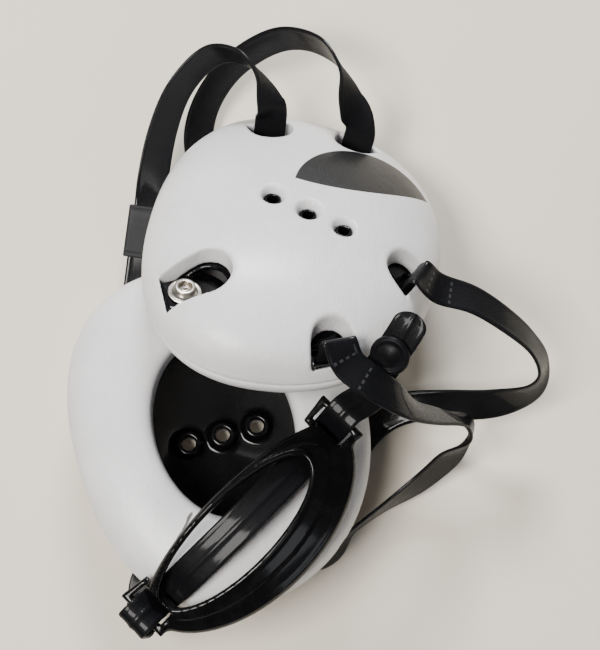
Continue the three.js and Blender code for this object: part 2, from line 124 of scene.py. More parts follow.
def slot_outline(grow=0):
    """The D of a strap slot: straight on the rim side, an arc on the centre side."""
    half, edge = SLOT_WIDTH / 2 + grow, SLOT_DEPTH / 2 + grow
    t = np.linspace(0, 1, 10)[1:]
    left = [((1 - s) ** 2 * -half + 2 * s * (1 - s) * -half, (1 - s) ** 2 * edge - (1 - (1 - s) ** 2) * edge)
            for s in t]
    return np.array([(-half, edge)] + left + [(-x, y) for x, y in left[-2::-1]] + [(half, edge)])


def window_outline(shrink=0):
    """The window over the snap tab: round towards the centre, square towards the rim."""
    round_end, square_end = ROUND_END - shrink, SQUARE_END - shrink
    length = WINDOW_LENGTH - ROUND_END - shrink
    turn = np.linspace(math.pi / 2, 3 * math.pi / 2, 16)
    arc = [(round_end * math.cos(a), round_end * math.sin(a)) for a in turn]
    return np.array([(length, square_end)] + arc + [(length, -square_end)])


def turned(points, degrees, x=0, y=0):
    a = math.radians(degrees)
    spin = np.array(((math.cos(a), math.sin(a)), (-math.sin(a), math.cos(a))))
    return points @ spin + np.array((x, y))


def at_slot(name, grow=0):
    x, y, heading = STRAP_SLOTS[name]
    return turned(slot_outline(grow), heading - 90, x, y)


def at_slit(name):
    x, y, heading = STRAP_SLOTS[name]
    half = SLIT_WIDTH / 2
    corners = [(-half, SLIT_INNER), (half, SLIT_INNER), (half, SLIT_OUTER), (-half, SLIT_OUTER)]
    return turned(np.array(corners), heading - 90, x, y)


def at_snap(shrink=0):
    back = WINDOW_LENGTH - ROUND_END - FLANGE - 2
    return turned(window_outline(shrink) - np.array((back, 0)), SNAP_HEADING, SNAP_X, SNAP_Y)


def vent_places(side):
    x, y, pitch, slope = VENT_ROWS[side]
    a = math.radians(slope)
    return [(x + i * pitch * math.cos(a), y + i * pitch * math.sin(a)) for i in (-1, 0, 1)]


# ---------- shapes as distances: negative inside, in millimetres ----------
def outline_distance(points, x, y):
    """Distance in the plan to a closed outline."""
    px, py = np.broadcast_arrays(x, y)
    nearest = np.full(px.shape, np.inf)
    inside = np.zeros(px.shape, bool)
    for (ax, ay), (bx, by) in zip(points, np.roll(points, -1, axis=0)):
        ex, ey = bx - ax, by - ay
        t = np.clip(((px - ax) * ex + (py - ay) * ey) / (ex * ex + ey * ey + 1e-12), 0, 1)
        nearest = np.minimum(nearest, (px - ax - t * ex) ** 2 + (py - ay - t * ey) ** 2)
        if ay != by:
            inside ^= ((ay > py) != (by > py)) & (px < ex * (py - ay) / ey + ax)
    return np.where(inside, -1, 1) * np.sqrt(nearest)


def both(a, b, radius):
    """What is in a and in b, with the edge between them rounded."""
    corner = np.hypot(np.maximum(radius + a, 0), np.maximum(radius + b, 0))
    return np.minimum(-radius, np.maximum(a, b)) + corner


def either(a, b, radius):
    """What is in a or in b, with the inner corner between them filled to a radius."""
    corner = np.hypot(np.maximum(radius - a, 0), np.maximum(radius - b, 0))
    return np.maximum(radius, np.minimum(a, b)) - corner


def dome(share, z, height, reach, step):
    p = DOME_FULLNESS
    raw = ((share / reach) ** p + (np.maximum(z, 0) / height) ** p) ** (1 / p) - 1
    slope = np.sqrt(sum(g * g for g in np.gradient(raw, step)))
    return raw / np.maximum(slope, 1e-3)


def grid_axes(low, high, step):
    x, y, z = (np.arange(a, b + step, step) for a, b in zip(low, high))
    return x[:, None, None], y[None, :, None], z[None, None, :]


def surface_of(values, low, step):
    """Points and four-sided faces of the zero surface of a grid of distances."""
    grid = openvdb.FloatGrid(5.0)
    grid.copyFromArray(np.ascontiguousarray(values, dtype=np.float32))
    points, quads = grid.convertToQuads()
    return points * step + np.array(low), quads


# ---------- meshes ----------
def make_mesh(name, points, faces, plan=None, smooth=True):
    """An object from points in millimetres.  plan gives each point's place in the material's own map."""
    mesh = bpy.data.meshes.new(name)
    corners = [tuple(int(i) for i in face) for face in faces]
    mesh.from_pydata([tuple(p) for p in np.asarray(points) * MM], [], corners)
    mesh.validate()
    if plan is not None:
        layer = mesh.uv_layers.new(name="plan")
        loops = np.empty(len(mesh.loops), dtype=np.int32)
        mesh.loops.foreach_get("vertex_index", loops)
        layer.data.foreach_set("uv", (np.asarray(plan)[loops] * CM_PER_MM).astype(np.float32).ravel())
    mesh.polygons.foreach_set("use_smooth", [smooth] * len(mesh.polygons))
    mesh.update()
    thing = bpy.data.objects.new(name, mesh)
    bpy.context.scene.collection.objects.link(thing)
    return thing


def enclosed(points, faces):
    """Volume inside the faces, negative when they face inwards."""
    p, f = np.asarray(points), np.asarray(faces)
    corners = p[f]
    total = 0
    for i in range(1, f.shape[1] - 1):
        total += np.einsum("ij,ij->i", corners[:, 0], np.cross(corners[:, i], corners[:, i + 1])).sum() / 6
    return total


def facing_out(points, faces):
    return faces if enclosed(points, faces) > 0 else np.asarray(faces)[:, ::-1]


def moved(points, matrix):
    m = np.array(matrix)
    return np.asarray(points) @ m[:3, :3].T + m[:3, 3]


def lathe(profile, segments=72):
    """Points and faces of a profile of (radius, height) turned about the z axis; its ends are on the axis."""
    turn = np.linspace(0, 2 * math.pi, segments, endpoint=False)
    points = [(0, 0, profile[0][1])]
    for r, z in profile[1:-1]:
        points += [(r * math.cos(a), r * math.sin(a), z) for a in turn]
    points.append((0, 0, profile[-1][1]))
    rings = len(profile) - 2
    faces = []
    for i in range(segments):
        j = (i + 1) % segments
        faces.append((0, 1 + i, 1 + j))
        for k in range(rings - 1):
            a, b = 1 + k * segments, 1 + (k + 1) * segments
            faces.append((a + i, b + i, b + j, a + j))
        last = 1 + (rings - 1) * segments
        faces.append((last + j, last + i, len(points) - 1))
    return np.array(points), faces


def lathed(name, profile, matrix):
    points, faces = lathe(profile)
    thing = make_mesh(name, moved(points, matrix), faces)
    fix_normals(thing)
    return thing


def fix_normals(thing):
    work = bmesh.new()
    work.from_mesh(thing.data)
    bmesh.ops.recalc_face_normals(work, faces=work.faces)
    work.to_mesh(thing.data)
    work.free()


def rounded(profile, radius=0.35, steps=4):
    """Replaces each inner corner of a (radius, height) profile by a short arc."""
    pts = [np.array(p, float) for p in profile]
    out = [tuple(pts[0])]
    for before, corner, after in zip(pts, pts[1:], pts[2:]):
        a, b = before - corner, after - corner
        la, lb = np.linalg.norm(a), np.linalg.norm(b)
        r = min(radius, la * 0.45, lb * 0.45)
        start, end = corner + a / la * r, corner + b / lb * r
        for i in range(steps + 1):
            t = i / steps
            out.append(tuple((1 - t) ** 2 * start + 2 * t * (1 - t) * corner + t ** 2 * end))
    out.append(tuple(pts[-1]))
    return out


# ---------- materials ----------
class Nodes:
    """Short names for building a material's node tree."""

    def __init__(self, name, sockets):
        self.material = bpy.data.materials.new(name)
        self.material.use_nodes = True
        self.tree = self.material.node_tree
        self.shader = self.tree.nodes["Principled BSDF"]
        for socket, value in sockets.items():
            self.shader.inputs[socket].default_value = value

    def put(self, socket, value):
        if isinstance(value, bpy.types.NodeSocket):
            self.tree.links.new(value, socket)
        else:
            socket.default_value = value

    def node(self, kind, inputs=(), **settings):
        made = self.tree.nodes.new(kind)
        for key, value in settings.items():
            setattr(made, key, value)
        for key, value in dict(inputs).items():
            self.put(made.inputs[key], value)
        return made

    def math(self, operation, a, b=0.0, clamp=False):
        return self.node("ShaderNodeMath", {0: a, 1: b}, operation=operation, use_clamp=clamp).outputs[0]

    def times(self, a, b):
        return self.math("MULTIPLY", a, b)

    def place(self):
        return self.node("ShaderNodeTexCoord").outputs["Object"]

    def plan(self):
        return self.node("ShaderNodeUVMap", uv_map="plan").outputs[0]

    def scaled(self, vector, scale):
        return self.node("ShaderNodeVectorMath", {0: vector, 1: scale}, operation="MULTIPLY").outputs[0]

    def dot(self, vector, direction):
        inputs = {0: vector, 1: direction}
        return self.node("ShaderNodeVectorMath", inputs, operation="DOT_PRODUCT").outputs["Value"]

    def split(self, vector):
        made = self.node("ShaderNodeSeparateXYZ", {0: vector})
        return made.outputs[0], made.outputs[1], made.outputs[2]

    def noise(self, vector, scale, detail=4.0, roughness=0.5, distortion=0.0):
        inputs = {"Vector": vector, "Scale": scale, "Detail": detail, "Roughness": roughness,
                  "Distortion": distortion}
        return self.node("ShaderNodeTexNoise", inputs).outputs[0]

    def cells(self, vector, scale, feature="F1"):
        inputs = {"Vector": vector, "Scale": scale}
        return self.node("ShaderNodeTexVoronoi", inputs, feature=feature).outputs[0]

    def ramp(self, value, low, high, start=0.0, end=1.0):
        inputs = {"Value": value, "From Min": low, "From Max": high, "To Min": start, "To Max": end}
        return self.node("ShaderNodeMapRange", inputs, clamp=True).outputs[0]

    def mix(self, share, a, b):
        made = self.node("ShaderNodeMix", data_type="RGBA")
        self.put(made.inputs[0], share)
        self.put(made.inputs[6], a)
        self.put(made.inputs[7], b)
        return made.outputs[2]

    def between(self, share, a, b):
        return self.node("ShaderNodeMix", {0: share, 2: a, 3: b}, data_type="FLOAT").outputs[0]

    def bump(self, height, distance, strength=1.0, normal=None):
        inputs = {"Height": height, "Distance": distance, "Strength": strength}
        if normal is not None:
            inputs["Normal"] = normal
        return self.node("ShaderNodeBump", inputs).outputs[0]

    def finish(self, color=None, roughness=None, normal=None):
        if color is not None:
            self.put(self.shader.inputs["Base Color"], color)
        if roughness is not None:
            self.put(self.shader.inputs["Roughness"], roughness)
        if normal is not None:
            self.put(self.shader.inputs["Normal"], normal)
        return self.material


def printed_panel(n, plan):
    """1 inside the printed panel, where a circle and a larger one overlap, in plan centimetres."""
    def from_centre(x, y):
        offset = n.node("ShaderNodeVectorMath", {0: plan, 1: (x, y, 0)}, operation="SUBTRACT").outputs[0]
        return n.node("ShaderNodeVectorMath", {0: offset}, operation="LENGTH").outputs["Value"]
    in_small = n.ramp(from_centre(2.405, 1.21), 2.815, 2.83, 1, 0)
    in_large = n.ramp(from_centre(0.6, 7.2), 6.0, 6.015, 1, 0)
    return n.times(in_small, in_large)


def white_skin(name, marked=False, creases=()):
    """Soft off-white vinyl skin over foam: faint mottling, fine creases with painted shade along the given
    ones, a few scuffs, rubbed gloss.
    """
    n = Nodes(name, {"IOR": 1.47, "Specular IOR Level": 0.45, "Subsurface Weight": 0.05,
                     "Subsurface Radius": (0.004, 0.003, 0.0025), "Subsurface Scale": 1.0,
                     "Coat Weight": 0.30, "Coat Roughness": 0.24})
    place = n.place()
    plan = n.plan()
    mottle = n.noise(place, 38, 3, 0.55)
    color = n.mix(n.ramp(mottle, 0.35, 0.7), (0.680, 0.672, 0.680, 1), (0.760, 0.752, 0.758, 1))
    grime = n.noise(place, 95, 8, 0.72, 0.6)
    color = n.mix(n.ramp(grime, 0.60, 0.80, 0, 0.30), color, (0.50, 0.48, 0.45, 1))
    streak_place = n.scaled(place, (900, 120, 300))
    streaks = n.noise(streak_place, 1.0, 5, 0.7, 1.2)
    scuff_area = n.ramp(n.noise(place, 26, 2, 0.5), 0.60, 0.72)
    scuffs = n.times(scuff_area, n.ramp(streaks, 0.62, 0.74))
    color = n.mix(n.times(scuffs, 0.55), color, (0.30, 0.28, 0.26, 1))
    specks = n.ramp(n.cells(place, 130), 0.035, 0.06, 1, 0)
    few = n.ramp(n.noise(place, 33, 1, 0.5), 0.62, 0.66)
    color = n.mix(n.times(n.times(specks, few), 0.7), color, (0.10, 0.09, 0.08, 1))
    grain = n.cells(place, 1500, "DISTANCE_TO_EDGE")
    wrinkles = n.noise(n.scaled(place, (1.0, 0.45, 0.8)), 420, 6, 0.62, 0.9)
    dents = n.noise(place, 65, 3, 0.5)
    normal = n.bump(dents, 0.0008, 0.45)
    normal = n.bump(wrinkles, 0.00030, 0.8, normal)
    normal = n.bump(n.ramp(grain, 0.0, 0.12), 0.00004, 0.7, normal)
    roughness = n.ramp(n.noise(n.scaled(place, (1.0, 0.3, 1.0)), 240, 6, 0.65), 0.3, 0.7, 0.30, 0.44)
    # Painted shade: each given crease is painted near-black along its line, over a groove that is bumped in
    # as well
    for start, end in creases:
        line = crease_line(n, plan, start, end)
        color = n.mix(n.times(line, 0.9), color, (0.06, 0.055, 0.05, 1))
        normal = n.bump(n.math("SUBTRACT", 1.0, line), 0.0006, 1.0, normal)
    if marked:
        ink = printed_panel(n, plan)
        worn = n.ramp(n.noise(place, 1400, 3, 0.7), 0.74, 0.80, 1, 0.5)
        ink = n.times(ink, worn)
        color = n.mix(ink, color, (0.002, 0.002, 0.003, 1))
        roughness = n.between(ink, roughness, 0.42)
        normal = n.bump(ink, 0.00010, 0.8, normal)
    return n.finish(color, roughness, normal)


def crease_line(n, plan, start, end):
    """1 along a wavering hair line between two plan points, in centimetres."""
    (ax, ay), (bx, by) = start, end
    length = math.hypot(bx - ax, by - ay)
    ux, uy = (bx - ax) / length, (by - ay) / length
    offset = n.node("ShaderNodeVectorMath", {0: plan, 1: (ax, ay, 0)}, operation="SUBTRACT").outputs[0]
    along = n.dot(offset, (ux, uy, 0))
    across = n.dot(offset, (-uy, ux, 0))
    waver = n.ramp(n.noise(n.scaled(plan, (1, 1, 0)), 2.2, 3, 0.5), 0, 1, -0.10, 0.10)
    off = n.math("ABSOLUTE", n.math("ADD", across, waver))
    width = n.ramp(along, 0, length, 0.060, 0.020)
    within = n.times(n.ramp(along, -0.05, 0.05), n.ramp(along, length - 0.15, length, 1, 0))
    sharp = n.math("SUBTRACT", 2.0, n.times(2.0, n.math("DIVIDE", off, width)), clamp=True)
    return n.times(within, sharp)


def black_shell():
    """Glossy moulded plastic with fine rub marks and a little dust."""
    n = Nodes("black_shell_plastic", {"Specular IOR Level": 0.08, "Coat Weight": 0.32,
                                      "Coat Roughness": 0.06})
    place = n.place()
    dust = n.noise(place, 900, 6, 0.75)
    haze = n.noise(place, 60, 3, 0.5)
    color = n.mix(n.ramp(dust, 0.66, 0.82, 0, 0.25), (0.0026, 0.0026, 0.0032, 1), (0.030, 0.029, 0.028, 1))
    rub = n.noise(n.scaled(place, (1600, 200, 500)), 1.0, 4, 0.7, 0.8)
    roughness = n.math("ADD", n.ramp(haze, 0.3, 0.7, 0.20, 0.30), n.ramp(rub, 0.58, 0.75, 0, 0.10))
    normal = n.bump(rub, 0.00002, 0.5)
    return n.finish(color, roughness, normal)


def webbing(name, coat, lightest, roughness, relief, stitched=()):
    """Black webbing.  stitched lists where rows of thread cross it, in centimetres along it."""
    n = Nodes(name, {"Specular IOR Level": 0.07, "Coat Weight": coat, "Coat Roughness": 0.10,
                     "Coat Tint": (0.84, 0.90, 1.0, 1.0)})
    across, along, _ = n.split(n.plan())
    yarn = 2 * math.pi / 0.085                     # warp and weft pitch, in centimetres
    warp = n.math("SINE", n.times(across, yarn))
    weft = n.math("SINE", n.times(along, yarn * 0.8))
    weave = n.times(warp, weft)
    thread = n.math("SINE", n.times(n.math("ADD", across, along), yarn * 2.6))
    height = n.math("ADD", weave, n.times(thread, 0.22))
    uneven = n.noise(n.scaled(n.plan(), (5, 2, 0)), 2.0, 4, 0.6)
    lint = n.ramp(n.noise(n.plan(), 34, 6, 0.8), 0.70, 0.80, 0, 0.35)
    raised = (lightest, lightest, lightest * 1.15, 1)
    color = n.mix(n.ramp(height, -1, 1), (0.0025, 0.0025, 0.0034, 1), raised)
    color = n.mix(lint, color, (0.045, 0.045, 0.048, 1))
    rough = n.ramp(uneven, 0.3, 0.7, roughness - 0.08, roughness + 0.08)
    normal = n.bump(uneven, 0.0005, 0.3)
    normal = n.bump(height, relief, 0.9, normal)
    for row in stitched:
        close = n.ramp(n.math("ABSOLUTE", n.math("SUBTRACT", along, row)), 0.035, 0.06, 1, 0)
        dashes = n.ramp(n.math("SINE", n.times(across, 2 * math.pi / 0.26)), -0.5, 0.1)
        inside = n.ramp(n.math("ABSOLUTE", across), 0.50, 0.53, 1, 0)
        stitch = n.times(n.times(close, dashes), inside)
        color = n.mix(n.times(stitch, 0.7), color, (0.055, 0.055, 0.060, 1))
        normal = n.bump(stitch, 0.0004, 1.0, normal)
    return n.finish(color, rough, normal)


def nickel():
    """Nickel plate with turning marks, darker and browner in random patches as painted shade."""
    n = Nodes("snap_nickel", {"Metallic": 1.0})
    place = n.place()
    shade_patches = n.noise(place, 320, 5, 0.65)
    # painted shade: the plate is darkened and browned in random patches
    color = n.mix(n.ramp(shade_patches, 0.4, 0.72), (0.60, 0.57, 0.52, 1), (0.33, 0.29, 0.24, 1))
    marks = n.noise(place, 4200, 4, 0.7)
    roughness = n.ramp(marks, 0.3, 0.7, 0.20, 0.38)
    return n.finish(color, roughness, n.bump(marks, 0.00002, 0.6))


def moulded(name, color, roughness, grain=0.00003, coat=0.0):
    """Moulded black rubber or plastic: a faint texture, handling marks and lighter worn spots."""
    n = Nodes(name, {"Specular IOR Level": 0.08, "Coat Weight": coat, "Coat Roughness": 0.10})
    place = n.place()
    marks = n.noise(place, 160, 5, 0.6)
    worn = tuple(c * 1.8 + 0.004 for c in color)
    shade = n.mix(n.ramp(marks, 0.5, 0.8, 0, 0.5), (*color, 1), (*worn, 1))
    wear = n.noise(n.scaled(place, (700, 160, 400)), 1.0, 4, 0.7, 0.8)
    rough = n.math("ADD", n.ramp(marks, 0.3, 0.7, roughness * 0.8, roughness * 1.3),
                   n.ramp(wear, 0.58, 0.75, 0, 0.12))
    normal = n.bump(n.noise(place, 2600, 3, 0.6), grain, 0.7)
    return n.finish(shade, rough, normal)


def floor_paint():
    n = Nodes("pale_floor", {"Specular IOR Level": 0.3})
    place = n.place()
    tone = n.noise(place, 3.0, 4, 0.5)
    color = n.mix(n.ramp(tone, 0.3, 0.7), (0.760, 0.700, 0.590, 1), (0.800, 0.740, 0.630, 1))
    normal = n.bump(n.noise(place, 240, 4, 0.5), 0.0002, 0.2)
    return n.finish(color, n.ramp(tone, 0.3, 0.7, 0.55, 0.65), normal)


# ---------- camera, light and floor ----------
CAMERA_ELEVATION, CAMERA_DISTANCE, MM_PER_PX = 80, 620, 0.385


def look_from(elevation, distance, target, focal_px, long_side_px=650):
    camera = bpy.data.cameras.new("camera")
    camera.sensor_width = 36
    camera.lens = focal_px * camera.sensor_width / long_side_px
    camera.clip_start, camera.clip_end = 0.01, 20
    holder = bpy.data.objects.new("camera", camera)
    bpy.context.scene.collection.objects.link(holder)
    e = math.radians(elevation)
    back = Vector((0, -math.cos(e), math.sin(e)))
    holder.location = Vector(target) + back * distance
    holder.rotation_mode = "QUATERNION"
    holder.rotation_quaternion = (-back).to_track_quat("-Z", "Y")
    bpy.context.scene.camera = holder


def area_light(name, place, aim, size, power, color=(1, 1, 1)):
    light = bpy.data.lights.new(name, "AREA")
    light.shape = "RECTANGLE"
    light.size, light.size_y = size
    light.energy = power
    light.color = color
    holder = bpy.data.objects.new(name, light)
    bpy.context.scene.collection.objects.link(holder)
    holder.location = place
    holder.rotation_mode = "QUATERNION"
    holder.rotation_quaternion = (Vector(aim) - Vector(place)).to_track_quat("-Z", "Y")


def set_stage():
    world = bpy.data.worlds.new("studio")
    world.use_nodes = True
    background = world.node_tree.nodes["Background"]
    background.inputs[0].default_value = (0.90, 0.94, 1.0, 1)
    background.inputs[1].default_value = 0.085
    bpy.context.scene.world = world
    area_light("key", (-0.48, -0.22, 1.15), (0, 0, 0), (0.5, 0.4), 22, (1, 0.965, 0.92))
    area_light("window", (0.02, 1.08, 0.80), (0, 0, 0.03), (0.42, 0.22), 24, (0.95, 0.97, 1))
    area_light("low_fill", (0.7, -0.9, 0.9), (0, 0, 0), (0.5, 0.5), 2.0, (0.93, 0.96, 1))
    points = [(x, y, 0) for x, y in ((-1500, -1500), (1500, -1500), (1500, 1500), (-1500, 1500))]
    floor = make_mesh("floor", points, [(0, 1, 2, 3)], smooth=False)
    floor.data.materials.append(floor_paint())


# ---------- a guard in its plan ----------
def guard_matrix(side):
    place, tilt, roll, spin = GUARD_PLACES[side]
    turn = Matrix.Rotation(math.radians(-tilt), 4, "X") @ Matrix.Rotation(math.radians(roll), 4, "Y")
    turn = turn @ Matrix.Rotation(math.radians(spin), 4, "Z")
    if side == "right":
        turn = turn @ Matrix.Scale(-1, 4, (0, 0, 1))
    return Matrix.Translation(place) @ turn


def guard_grid(step, low_z=-3):
    low = (-HALF_WIDTH * 1.06, -HALF_LENGTH * 1.11, low_z)
    high = (HALF_WIDTH * 1.06, HALF_LENGTH * 1.11, DOME_HEIGHT + 3)
    return low, grid_axes(low, high, step)


def cover_surface(side):
    step = COVER_STEP
    low, (x, y, z) = guard_grid(step)
    share = guard_share(x, y)
    inner_height = DOME_HEIGHT - COVER_WALL
    body = both(dome(share, z, DOME_HEIGHT, 1, step), -z, 0.9)
    body = both(body, -dome(share, z, inner_height, COVER_LIP, step), 0.4)
    for name in STRAP_SLOTS:
        hole = outline_distance(at_slot(name), x, y)
        body = both(body, -hole - 0.25, 1.3)
    hole = outline_distance(at_snap(), x, y)
    body = both(body, -hole - 0.1, 0.9)
    flare = np.clip((z - inner_height - 3) / (DOME_HEIGHT - inner_height - 3), 0, 1.3)
    width = VENT_HOLE / 2 + 0.5 + (COUNTERSINK - VENT_HOLE) / 2 * flare ** 1.6
    for vx, vy in vent_places(side):
        body = both(body, width - np.hypot(x - vx, y - vy), 0.8)
    return surface_of(body, low, step)


def shell_surface(side):
    step = SHELL_STEP
    low, (x, y, z) = guard_grid(step)
    share = guard_share(x, y)
    reach = COVER_LIP - 1.5 * GAP / HALF_WIDTH
    high = DOME_HEIGHT - COVER_WALL - 1.5 * GAP
    inside = dome(share, z, high - SHELL_WALL, reach - SHELL_WALL / HALF_WIDTH, step)
    body = both(both(dome(share, z, high, reach, step), -z, 0.5), -inside, 0.4)
    for name in STRAP_SLOTS:
        plate = outline_distance(at_slot(name, -GAP), x, y)
        plate = both(plate, np.abs(z - SLOT_FLOOR + SHELL_WALL / 2) - SHELL_WALL / 2, 0.4)
        slit = outline_distance(at_slit(name), x, y)
        body = both(either(body, plate, 0.4), -slit, 0.6)
    well = outline_distance(at_snap(1), x, y)
    body = both(body, -np.maximum(well, TAB_TOP - z), 0.5)
    tab = both(outline_distance(at_snap(0.6), x, y), np.abs(z - TAB_TOP + TAB_DEPTH / 2)
               - TAB_DEPTH / 2, 0.7)
    body = either(body, tab, 0.4)
    post_room = np.maximum(np.hypot(x - SNAP_X, y - SNAP_Y) - POST_FLANGE - 1, z - TAB_TOP + TAB_DEPTH)
    body = both(body, -post_room, 0.3)
    roof = high - SHELL_WALL
    sunk = 0.5                                     # half of how far a boss reaches past the roof
    for vx, vy in vent_places(side):
        away = np.hypot(x - vx, y - vy)
        level = np.abs(z - roof + BOSS_HEIGHT / 2 - sunk) - BOSS_HEIGHT / 2 - sunk
        boss = both(away - BOSS_WIDTH / 2, level, 1.9)
        body = both(either(body, boss, 2.2), VENT_HOLE / 2 - away, 0.9)
    body = both(body, z - high - 2, 0.1)
    # Painted shade: a black tube lines each vent hole of the left guard so that the holes show dark; the real
    # guard has no such lining
    middle, half = (roof + VENT_SHADE_TUBE_TOP) / 2, (VENT_SHADE_TUBE_TOP - roof) / 2
    for vx, vy in vent_places(side) if side == "left" else ():
        away = np.hypot(x - vx, y - vy)
        shade_tube = both(away - VENT_HOLE / 2 - 0.5, VENT_HOLE / 2 - 0.6 - away, 0.2)
        body = either(body, both(shade_tube, np.abs(z - middle) - half, 0.3), 0.2)
    return surface_of(body, low, step)


def place_guard_piece(name, points, faces, side):
    placed = moved(points, guard_matrix(side))
    placed[:, 2] = np.maximum(placed[:, 2], 0)
    plan = np.asarray(points)[:, :2]
    return make_mesh(name, placed, facing_out(placed, faces), plan)


def pad_rings():
    """The ring pad's section from the inner lip round to the rim: share of the way out, and height."""
    crest, edge = PAD_HEIGHT, PAD_EDGE
    return [(0.5, -GAP), (0.2, -GAP), (0.02, -GAP), (0, -1.2), (0, -crest * 0.45), (0.0, -crest * 0.74),
            (0.035, -crest * 0.89), (0.10, -crest * 0.975), (0.2, -crest), (0.33, -crest * 0.985),
            (0.48, -crest * 0.94), (0.62, -crest * 0.87), (0.75, -crest * 0.77), (0.86, -edge * 1.17),
            (0.94, -edge * 0.84), (0.985, -edge * 0.5), (1.0, -edge * 0.24), (0.998, -0.8), (0.985, -GAP),
            (0.9, -GAP), (0.75, -GAP)]


def pad_form():
    """The pad as a ring of evenly spaced quads."""
    rings = pad_rings()
    turns = int(2 * math.pi * (HALF_WIDTH + HALF_LENGTH) / 2 / PAD_STEP)
    turn = np.linspace(0, 2 * math.pi, turns, endpoint=False)
    ix, iy = ear_outline(turn)
    ox, oy = guard_outline(turn)
    points = []
    for share, z in rings:
        points += list(zip(ix + (ox - ix) * share, iy + (oy - iy) * share, np.full(turns, z)))
    faces = []
    for k in range(len(rings)):
        a, b = k * turns, (k + 1) % len(rings) * turns
        faces += [(a + i, b + i, b + (i + 1) % turns, a + (i + 1) % turns) for i in range(turns)]
    points = np.array(points)
    return points, facing_out(points, faces)


def inflate(points, faces, cap, pinned):
    """Lets air pressure fill the form as a cloth skin for a few frames, and caps how far a point may go."""
    work = make_mesh("pad_in_simulation", points, faces)
    group = work.vertex_groups.new(name="pinned")
    group.add([int(i) for i in np.flatnonzero(pinned)], 1.0, "REPLACE")
    cloth = work.modifiers.new("cloth", "CLOTH")
    cloth.settings.quality = 6
    cloth.settings.mass = 0.3
    cloth.settings.tension_stiffness = 12
    cloth.settings.compression_stiffness = 12
    cloth.settings.bending_stiffness = 0.6
    cloth.settings.use_pressure = True
    cloth.settings.uniform_pressure_force = 4
    cloth.settings.effector_weights.gravity = 0
    cloth.settings.vertex_group_mass = "pinned"
    cloth.collision_settings.use_collision = False
    scene = bpy.context.scene
    for step in range(1, 21):
        scene.frame_set(step)
    settled = work.evaluated_get(bpy.context.evaluated_depsgraph_get()).to_mesh()
    after = np.empty(len(settled.vertices) * 3)
    settled.vertices.foreach_get("co", after)
    after = after.reshape(-1, 3) / MM
    scene.frame_set(1)
    bpy.data.objects.remove(work)
    go = after - points
    far = np.linalg.norm(go, axis=1, keepdims=True)
    return points + go * np.minimum(1, cap / np.maximum(far, 1e-9))


def subdivided(thing, levels=1):
    smooth = thing.modifiers.new("subdivision", "SUBSURF")
    smooth.levels = smooth.render_levels = levels
    evaluated = thing.evaluated_get(bpy.context.evaluated_depsgraph_get())
    mesh = bpy.data.meshes.new_from_object(evaluated)
    old = thing.data
    thing.modifiers.clear()
    thing.data = mesh
    bpy.data.meshes.remove(old)
    return thing


def pad_shape():
    points, faces = pad_form()
    held = points[:, 2] > -1.3
    points = inflate(points, faces, 1.2, held)
    return points, faces


# ---------- snap hardware, each part standing on its own z axis ----------
SOCKET_BASE = TAB_TOP + GAP + FLANGE_THICKNESS + GAP
STRAP_ON_SNAP = SOCKET_BASE + SOCKET_HEIGHT + GAP + STRAP_THICKNESS / 2


def stud_profile():
    base = TAB_TOP + GAP
    flange = base + FLANGE_THICKNESS
    top = flange + COLLAR_HEIGHT
    rim = [(0, base), (FLANGE - 0.4, base), (FLANGE, base + 0.2), (FLANGE, flange - 0.15),
           (FLANGE - 0.5, flange)]
    collar = [(COLLAR + 0.9, flange - 0.2), (COLLAR + 0.5, flange + 0.1), (COLLAR - 0.35, flange + 0.5),
              (COLLAR - 0.4, top - 1.2), (COLLAR, top - 0.8), (COLLAR - 0.1, top - 0.2),
              (COLLAR - 0.6, top)]
    bore = [(BORE + 0.7, top), (BORE + 0.35, top - 0.5), (BORE + 0.3, flange + 0.9),
            (BORE - 0.4, flange + 0.7), (BORE - 0.6, flange + 1.3), (BORE - 1.2, flange + 1.35),
            (BORE - 1.3, flange + 0.3), (0, flange + 0.2)]
    return rounded(rim + collar + bore, 0.25, 3)


def post_profile():
    low = TAB_TOP - TAB_DEPTH - GAP
    return rounded([(0, low - 1), (POST_FLANGE, low - 1), (POST_FLANGE, low), (POST, low),
                    (POST, TAB_TOP - 0.01), (0, TAB_TOP)], 0.3, 3)


def socket_profile():
    top = -STRAP_THICKNESS / 2 - GAP
    base = top - SOCKET_HEIGHT
    inner = COLLAR + GAP
    return rounded([(0, top), (SOCKET, top), (SOCKET, top - 1.1), (SOCKET - 0.7, top - 1.5),
                    (SOCKET - 0.6, base), (inner, base), (inner, top - 0.5), (0, top - 0.4)], 0.35, 3)


def cap_profile():
    base = STRAP_THICKNESS / 2 + GAP
    top = base + CAP_HEIGHT
    return rounded([(0, base), (CAP - 0.3, base), (CAP, base + 0.6), (CAP - 0.1, top - 1.1),
                    (CAP - 1.0, top - 0.25), (CAP - 1.9, top - 0.3), (CAP - 2.5, top - 0.85),
                    (CAP - 3.4, top - 0.8), (CAP - 5.0, top - 0.3), (0.8, top), (0, top)], 0.5, 4)


# ---------- straps ----------
def guard_point(side, x, y, z):
    return guard_matrix(side) @ Vector((x, y, z))


def guard_direction(side, degrees):
    a = math.radians(degrees)
    return (guard_matrix(side).to_3x3() @ Vector((math.cos(a), math.sin(a), 0))).normalized()


def heading_out(side, x, y, heading, steps):
    """Stations at each (way out, height) from a plan point, with the strap's width across the heading."""
    a = math.radians(heading)
    across = guard_direction(side, heading + 90)
    return [(guard_point(side, x + out * math.cos(a), y + out * math.sin(a), z), across)
            for out, z in steps]


def slot_exit(side, name, reach, lift):
    start = STRAP_STANDS[side]
    steps = ((start, STRAP_END), (start, SLOT_FLOOR + 2), (start + 1, STRAP_TURN), (reach, lift))
    return heading_out(side, *STRAP_SLOTS[name], steps)


def way(points):
    return [(Vector(p[:3]) + SHIFT, math.radians(p[3])) for p in points]


